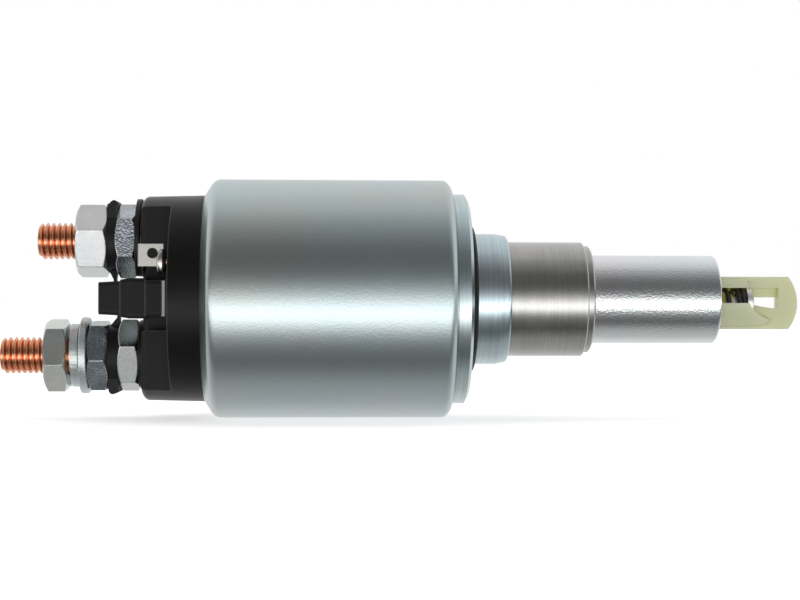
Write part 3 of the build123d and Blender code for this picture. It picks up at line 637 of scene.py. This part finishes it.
# %% Finishes of the turned pieces
finishes["can"] = finish(
    "satin_zinc", (0.485, 0.55, 0.555), 1.0, 0.29, (25.0, 0.12), relief=4e-6, tint=22.0,
    grain=(1900.0, 2.2e-5), wear=(0.0006, 5.0, (0.70, 0.74, 0.73), 0.25))
finishes["plate"] = finish(
    "turned_zinc", (0.505, 0.605, 0.63), 1.0, 0.23, (40.0, 0.15), turned=(1700.0, 6e-6, 0.55),
    relief=2e-6, tint=40.0, rounding=0.0003, wear=(0.0004, 6.0, (0.80, 0.83, 0.82), 0.2))
finishes["nose"] = finish(
    "bright_zinc", (0.72, 0.75, 0.74), 1.0, 0.16, (50.0, 0.15), relief=2e-6, tint=40.0,
    grain=(2200.0, 6e-5), wear=(0.0005, 6.0, (0.85, 0.88, 0.88), 0.15))
finishes["armature"] = finish(
    "ground_steel", (0.43, 0.425, 0.415), 1.0, 0.21, (120.0, 0.35), turned=(2600.0, 5e-6, 0.3),
    relief=6e-6, wear=(0.0003, 5.0, (0.62, 0.61, 0.60), 0.25))
finishes["plain_steel"] = finish(
    "turned_steel", (0.45, 0.46, 0.47), 1.0, 0.35, (50.0, 0.2), turned=(3000.0, 4e-6, 0.3))
finishes["bright_steel"] = finish(
    "bright_steel", (0.95, 0.95, 0.94), 1.0, 0.42, (80.0, 0.2), turned=(2500.0, 4e-6, 0.8),
    wear=(0.0003, 5.0, (0.85, 0.85, 0.85), 0.2))
finishes["spring_steel"] = finish("spring_wire", (0.50, 0.50, 0.51), 1.0, 0.3, (200.0, 0.2))
finishes["black_spring"] = finish(
    "blackened_wire", (0.035, 0.034, 0.036), 0.2, 0.38, (200.0, 0.4), relief=6e-6)
print(len(finishes), "finishes so far")

# %% [markdown]
# The nuts are plated together in a drum, which dulls the facets and brightens the edges. Two of
# them look crystalline, as spangled zinc does: a strong grain with a strong mottle gives that. The
# long stud's inner nut has a darker copy of the plain nut finish, which is painted shade: the strap
# and the parts round it shade that nut.

# %% Finishes of the nuts and washers
def nut_finish(name, color, roughness):
    """Drum-plated zinc on a smooth nut."""
    return finish(
        name, color, 1.0, roughness, (110.0, 0.4), relief=8e-6, tint=60.0, grain=(1300.0, 7e-6),
        rounding=0.0005, wear=(0.0004, 7.0, (0.92, 0.94, 0.94), 0.18))


finishes["nut"] = nut_finish("nut_zinc", (0.66, 0.69, 0.67), 0.3)
# A darker copy of the nut finish: painted shade on the long stud's inner nut, which sits in shadow.
finishes["painted_shade_nut"] = nut_finish("painted_shade_nut_zinc", (0.44, 0.46, 0.44), 0.28)
finishes["washer"] = finish(
    "washer_zinc", (0.60, 0.645, 0.65), 1.0, 0.42, (110.0, 0.9), relief=1.6e-5, tint=60.0,
    grain=(1500.0, 8e-5), rounding=0.0002, wear=(0.0003, 6.0, (0.85, 0.87, 0.87), 0.3))
finishes["spangled_nut"] = finish(
    "spangled_zinc", (0.33, 0.365, 0.38), 1.0, 0.2, (120.0, 2.0), relief=1e-5, tint=60.0,
    grain=(2200.0, 1.25e-4), rounding=0.0004, wear=(0.0004, 7.0, (0.90, 0.92, 0.92), 0.2))
print(len(finishes), "finishes so far")

# %% [markdown]
# ## Copper, brass, tin and solder
# The studs are bare copper that is bright on the crests of the thread. The windings are solids
# whose turns are drawn by coarse turned lines under their enamel. The strip and the blade are
# tinned, one bright and one dull, and the solder is a smooth, uneven drop.

# %% Finishes of the conductors
COPPER_ENAMEL = (0.55, 0.28, 0.16)
finishes["stud_copper"] = finish(
    "stud_copper", (0.84, 0.33, 0.17), 1.0, 0.2, (110.0, 0.6), relief=1e-5,
    wear=(0.0002, 4.0, (0.98, 0.62, 0.42), 0.2))
finishes["winding"] = finish(
    "enamelled_copper", COPPER_ENAMEL, 0.8, 0.3, (60.0, 0.3), turned=(2500.0, 6e-5, 0.3))
finishes["lead"] = finish("lead_wire", COPPER_ENAMEL, 0.8, 0.35, (300.0, 0.3))
finishes["brass"] = finish(
    "drawn_brass", (0.75, 0.60, 0.30), 1.0, 0.25, (60.0, 0.2), turned=(6000.0, 2e-6, 0.2))
finishes["tinned"] = finish(
    "tinned_strip", (0.47, 0.46, 0.43), 1.0, 0.38, (110.0, 0.8), relief=1.2e-5, rounding=0.0002,
    wear=(0.00025, 6.0, (0.78, 0.77, 0.73), 0.3))
finishes["dull_tin"] = finish(
    "dull_tin", (0.27, 0.28, 0.28), 1.0, 0.4, (110.0, 0.5), relief=1.2e-5, rounding=0.0002,
    wear=(0.00025, 6.0, (0.6, 0.6, 0.58), 0.3))
finishes["solder"] = finish("solder", (0.66, 0.61, 0.60), 1.0, 0.2, (220.0, 0.5), relief=2e-5)
print(len(finishes), "finishes so far")

# %% [markdown]
# ## Rubber, mouldings and nylon
# Black plastic and rubber are never quite black, and their edges are rubbed lighter. On the black
# moulding the lighter edges are also a painted highlight, the light that its rounded edges catch.
# The hook is natural nylon: light goes a few millimetres into it, which Subsurface does, so that it
# glows instead of looking painted. These values are the same all over, so they are set on the shader.

# %% Finishes of the mouldings
LOW_GLOSS = (("Specular IOR Level", 0.25),)
NYLON_DEPTH = (
    ("Subsurface Weight", 0.6), ("Subsurface Scale", 0.008), ("Subsurface Radius", (1.0, 0.9, 0.5)))
finishes["rubber"] = finish(
    "black_rubber", (0.010, 0.0095, 0.009), 0.0, 0.5, (150.0, 0.5), relief=1.5e-5,
    wear=(0.0003, 3.0, (0.05, 0.047, 0.043), 0.45), constants=LOW_GLOSS)
# The light edge colour of the black moulding is partly rubbed wear and partly a painted highlight on
# the edges of the cap and the shroud.
finishes["moulding"] = finish(
    "black_moulding", (0.0065, 0.0065, 0.006), 0.0, 0.36, (90.0, 0.4), relief=8e-6, rounding=0.0004,
    wear=(0.0005, 12.0, (0.115, 0.112, 0.105), 0.26), constants=(("Specular IOR Level", 0.18),))
finishes["fibre"] = finish(
    "washer_fibre", (0.012, 0.0117, 0.0114), 0.0, 0.45, (200.0, 0.5), relief=1e-5, rounding=0.0002,
    wear=(0.0003, 4.0, (0.06, 0.056, 0.052), 0.4), constants=LOW_GLOSS)
finishes["hook"] = finish(
    "ivory_nylon", (0.62, 0.645, 0.43), 0.0, 0.34, (70.0, 0.12), relief=6e-6, rounding=0.0002,
    constants=NYLON_DEPTH)
finishes["nylon"] = finish("natural_nylon", (0.72, 0.71, 0.66), 0.0, 0.45, (60.0, 0.15))
finishes["brown_moulding"] = finish("brown_moulding", (0.16, 0.06, 0.03), 0.0, 0.4, (80.0, 0.3))
finishes["paper"] = finish(
    "varnished_paper", (0.45, 0.33, 0.18), 0.0, 0.4, (60.0, 0.4), turned=(400.0, 2e-5, 0.3))
print(len(finishes), "finishes in all")

# %% [markdown]
# ## Who wears what
# Every CAD node and every new piece gets its finish by name.

# %% Assign the finishes
wearers = {
    "can": ["case"],
    "plate": ["front_plate"],
    "nose": ["nose"],
    "armature": ["armature"],
    "plain_steel": ["core"],
    "bright_steel": ["spring_seat", "push_rod"],
    "spring_steel": ["rod_clip"],
    "nut": ["short_stud_nut", "long_stud_outer_nut"],
    "painted_shade_nut": ["long_stud_inner_nut"],
    # The long stud's inner nut takes the darker nut finish, which is painted shade.
    "washer": ["flat_washer", "spring_washer"],
    "spangled_nut": ["short_stud_inner_nut", "long_stud_middle_nut"],
    "stud_copper": ["contact_bridge"],
    "winding": ["pull_in_winding", "hold_in_winding"],
    "lead": ["winding_leads"],
    "brass": ["guide_sleeve"],
    "tinned": ["strip"],
    "dull_tin": ["blade_terminal"],
    "solder": ["solder_joint"],
    "rubber": ["o_ring", "strap", "bobbin_gasket", "cap_seal"],
    "moulding": ["cap", "shroud"],
    "fibre": ["insulating_washers"],
    "hook": ["hook"],
    "nylon": ["bobbin"],
    "brown_moulding": ["bridge_bush", "bridge_washer"],
    "paper": ["winding_wrap"],
}


def dress(piece, finish_name):
    """The piece's material slots emptied and given one finish."""
    piece.data.materials.clear()
    piece.data.materials.append(finishes[finish_name])


for finish_name, names in wearers.items():
    for name in names:
        dress(nodes[name], finish_name)
for name, piece in springs.items():
    spring_finish = "black_spring" if name == "release_spring" else "spring_steel"
    dress(piece, spring_finish)
for piece in studs:
    dress(piece, "stud_copper")
dressed = {name for names in wearers.values() for name in names}
replaced = set(springs) | {"short_stud", "long_stud"}
print("nodes with no finish:", sorted(set(nodes) - dressed - replaced))

# %% [markdown]
# ## Floor
# The floor lies just under the can. It glows for the camera alone, so that it comes out white in
# the picture, and still takes the can's soft shadow. Reflections don't show it, because metal that
# mirrors it would lose its dark lower side.

# %% Floor
FLOOR_Z = cad_box[0][2] - 0.02 * mm
FLOOR_SIZE = 6
FLOOR_COLOR = (0.80, 0.80, 0.80, 1)
FLOOR_GLOW = 0.62


def seen_directly(tree):
    """One where the camera looks, directly or through glass, and zero for light and reflections."""
    rays = tree.nodes.new("ShaderNodeLightPath").outputs
    return math_node(tree, "MAXIMUM", rays["Is Camera Ray"], rays["Is Transmission Ray"])


deselect_all()
bpy.ops.mesh.primitive_plane_add(size=FLOOR_SIZE, location=(0, 0, FLOOR_Z))
floor = bpy.context.active_object
floor.name = "floor"
floor_material = bpy.data.materials.new("pale_floor")
floor_material.use_nodes = True
tree = floor_material.node_tree
tree.nodes.remove(tree.nodes["Principled BSDF"])
diffuse = tree.nodes.new("ShaderNodeBsdfDiffuse")
diffuse.inputs["Color"].default_value = FLOOR_COLOR
glow = tree.nodes.new("ShaderNodeEmission")
tree.links.new(math_node(tree, "MULTIPLY", seen_directly(tree), FLOOR_GLOW), glow.inputs["Strength"])
total = tree.nodes.new("ShaderNodeAddShader")
tree.links.new(diffuse.outputs[0], total.inputs[0])
tree.links.new(glow.outputs[0], total.inputs[1])
tree.links.new(total.outputs[0], tree.nodes["Material Output"].inputs["Surface"])
floor.data.materials.append(floor_material)
floor.visible_glossy = False
floor.visible_diffuse = False
floor.visible_shadow = False
print("floor at", round(FLOOR_Z / mm, 2), "mm")

# %% [markdown]
# ## World
# What the metal shows is the studio: one bright soft panel just below the lens, a dim room round
# the camera, and white above, below and behind. Most pieces are turned about X, so the room can be
# described by one angle, the elevation seen along X. The world's brightness follows that angle.

# %% Brightness of the room
# Elevation in degrees (0 is towards the camera, 90 is up, 180 is behind the object) and brightness.
ROOM = [
    (-180, 0.95), (-137, 0.80), (-110, 0.58), (-87, 0.46), (-74, 0.27), (-61, 0.13), (-50, 0.19),
    (-41, 0.26), (-34, 0.45), (-29, 0.80), (-24, 1.7), (-17, 2.8), (-10, 2.5), (-4, 1.6), (3, 0.85),
    (11, 0.40), (20, 0.19), (34, 0.15), (50, 0.18), (65, 0.32), (78, 0.46), (96, 0.74), (125, 0.92),
    (180, 0.90),
]
ROOM_PEAK = max(level for angle, level in ROOM)
print(len(ROOM), "stops, the brightest", ROOM_PEAK)

# %% World
world = bpy.data.worlds.new("studio")
bpy.context.scene.world = world
world.use_nodes = True
tree = world.node_tree
background = tree.nodes["Background"]
direction = tree.nodes.new("ShaderNodeTexCoord")
axes = tree.nodes.new("ShaderNodeSeparateXYZ")
tree.links.new(direction.outputs["Generated"], axes.inputs[0])
toward_camera = math_node(tree, "MULTIPLY", axes.outputs["Y"], -1.0)
elevation = math_node(tree, "ARCTAN2", axes.outputs["Z"], toward_camera)
room = tree.nodes.new("ShaderNodeValToRGB")
room.color_ramp.interpolation = "EASE"
for angle, level in ROOM[1:-1]:
    room.color_ramp.elements.new(angle / 360 + 0.5)
for stop, (angle, level) in zip(room.color_ramp.elements, ROOM):
    stop.position = angle / 360 + 0.5
    stop.color = (*[level / ROOM_PEAK] * 3, 1)
tree.links.new(map_range(tree, elevation, -pi, pi), room.inputs["Fac"])
white = (1 / ROOM_PEAK,) * 3
shown = mixed_color(tree, seen_directly(tree), room.outputs["Color"], white)
tree.links.new(shown, background.inputs["Color"])
background.inputs["Strength"].default_value = ROOM_PEAK
print("world:", len(room.color_ramp.elements), "stops of brightness by elevation")

# %% [markdown]
# ## Lamp
# The world has no sharp source. One large soft lamp above and a little behind gives the dark
# pieces some direction and the floor its shadow. Reflections don't show it.

# %% Lamp
LAMP_PLACE = Vector((0.0, 0.15, 0.9))
LAMP_SIZE = (1.4, 0.5)
LAMP_RADIANCE = 1.0

lamp = bpy.data.lights.new("top_panel", "AREA")
lamp.shape = "RECTANGLE"
lamp.size, lamp.size_y = LAMP_SIZE
lamp.energy = LAMP_RADIANCE * pi * LAMP_SIZE[0] * LAMP_SIZE[1]
top_panel = bpy.data.objects.new("top_panel", lamp)
bpy.context.scene.collection.objects.link(top_panel)
top_panel.location = LAMP_PLACE
top_panel.rotation_euler = (-LAMP_PLACE).to_track_quat("-Z", "Y").to_euler()
top_panel.visible_camera = False
top_panel.visible_glossy = False
print("lamp:", top_panel.name, round(lamp.energy, 2), "W")

# %% [markdown]
# ## Camera
# The photograph was taken level with the axis and from a little to the left. The place, the aim
# and the lens were fitted to the silhouette of the turned pieces, whose sizes are known.

# %% Camera
CAMERA_PLACE = Vector((-39.95, -450.0, 0.0)) * mm
CAMERA_AIM = Vector((-17.45, 0.0, -0.3)) * mm
CAMERA_LENS = 76.3
CAMERA_SENSOR = 36
CAMERA_ROLL = radians(0.12)
CAMERA_NEAREST = 0.01

camera_data = bpy.data.cameras.new("camera")
camera_data.lens = CAMERA_LENS
camera_data.sensor_width = CAMERA_SENSOR
camera_data.clip_start = CAMERA_NEAREST
camera = bpy.data.objects.new("camera", camera_data)
bpy.context.scene.collection.objects.link(camera)
camera.location = CAMERA_PLACE
camera.rotation_euler = (CAMERA_AIM - CAMERA_PLACE).to_track_quat("-Z", "Y").to_euler()
camera.rotation_euler.rotate_axis("Z", CAMERA_ROLL)
bpy.context.scene.camera = camera
bpy.context.scene.view_settings.view_transform = "Standard"
print("camera at", [round(v / mm, 1) for v in camera.location])
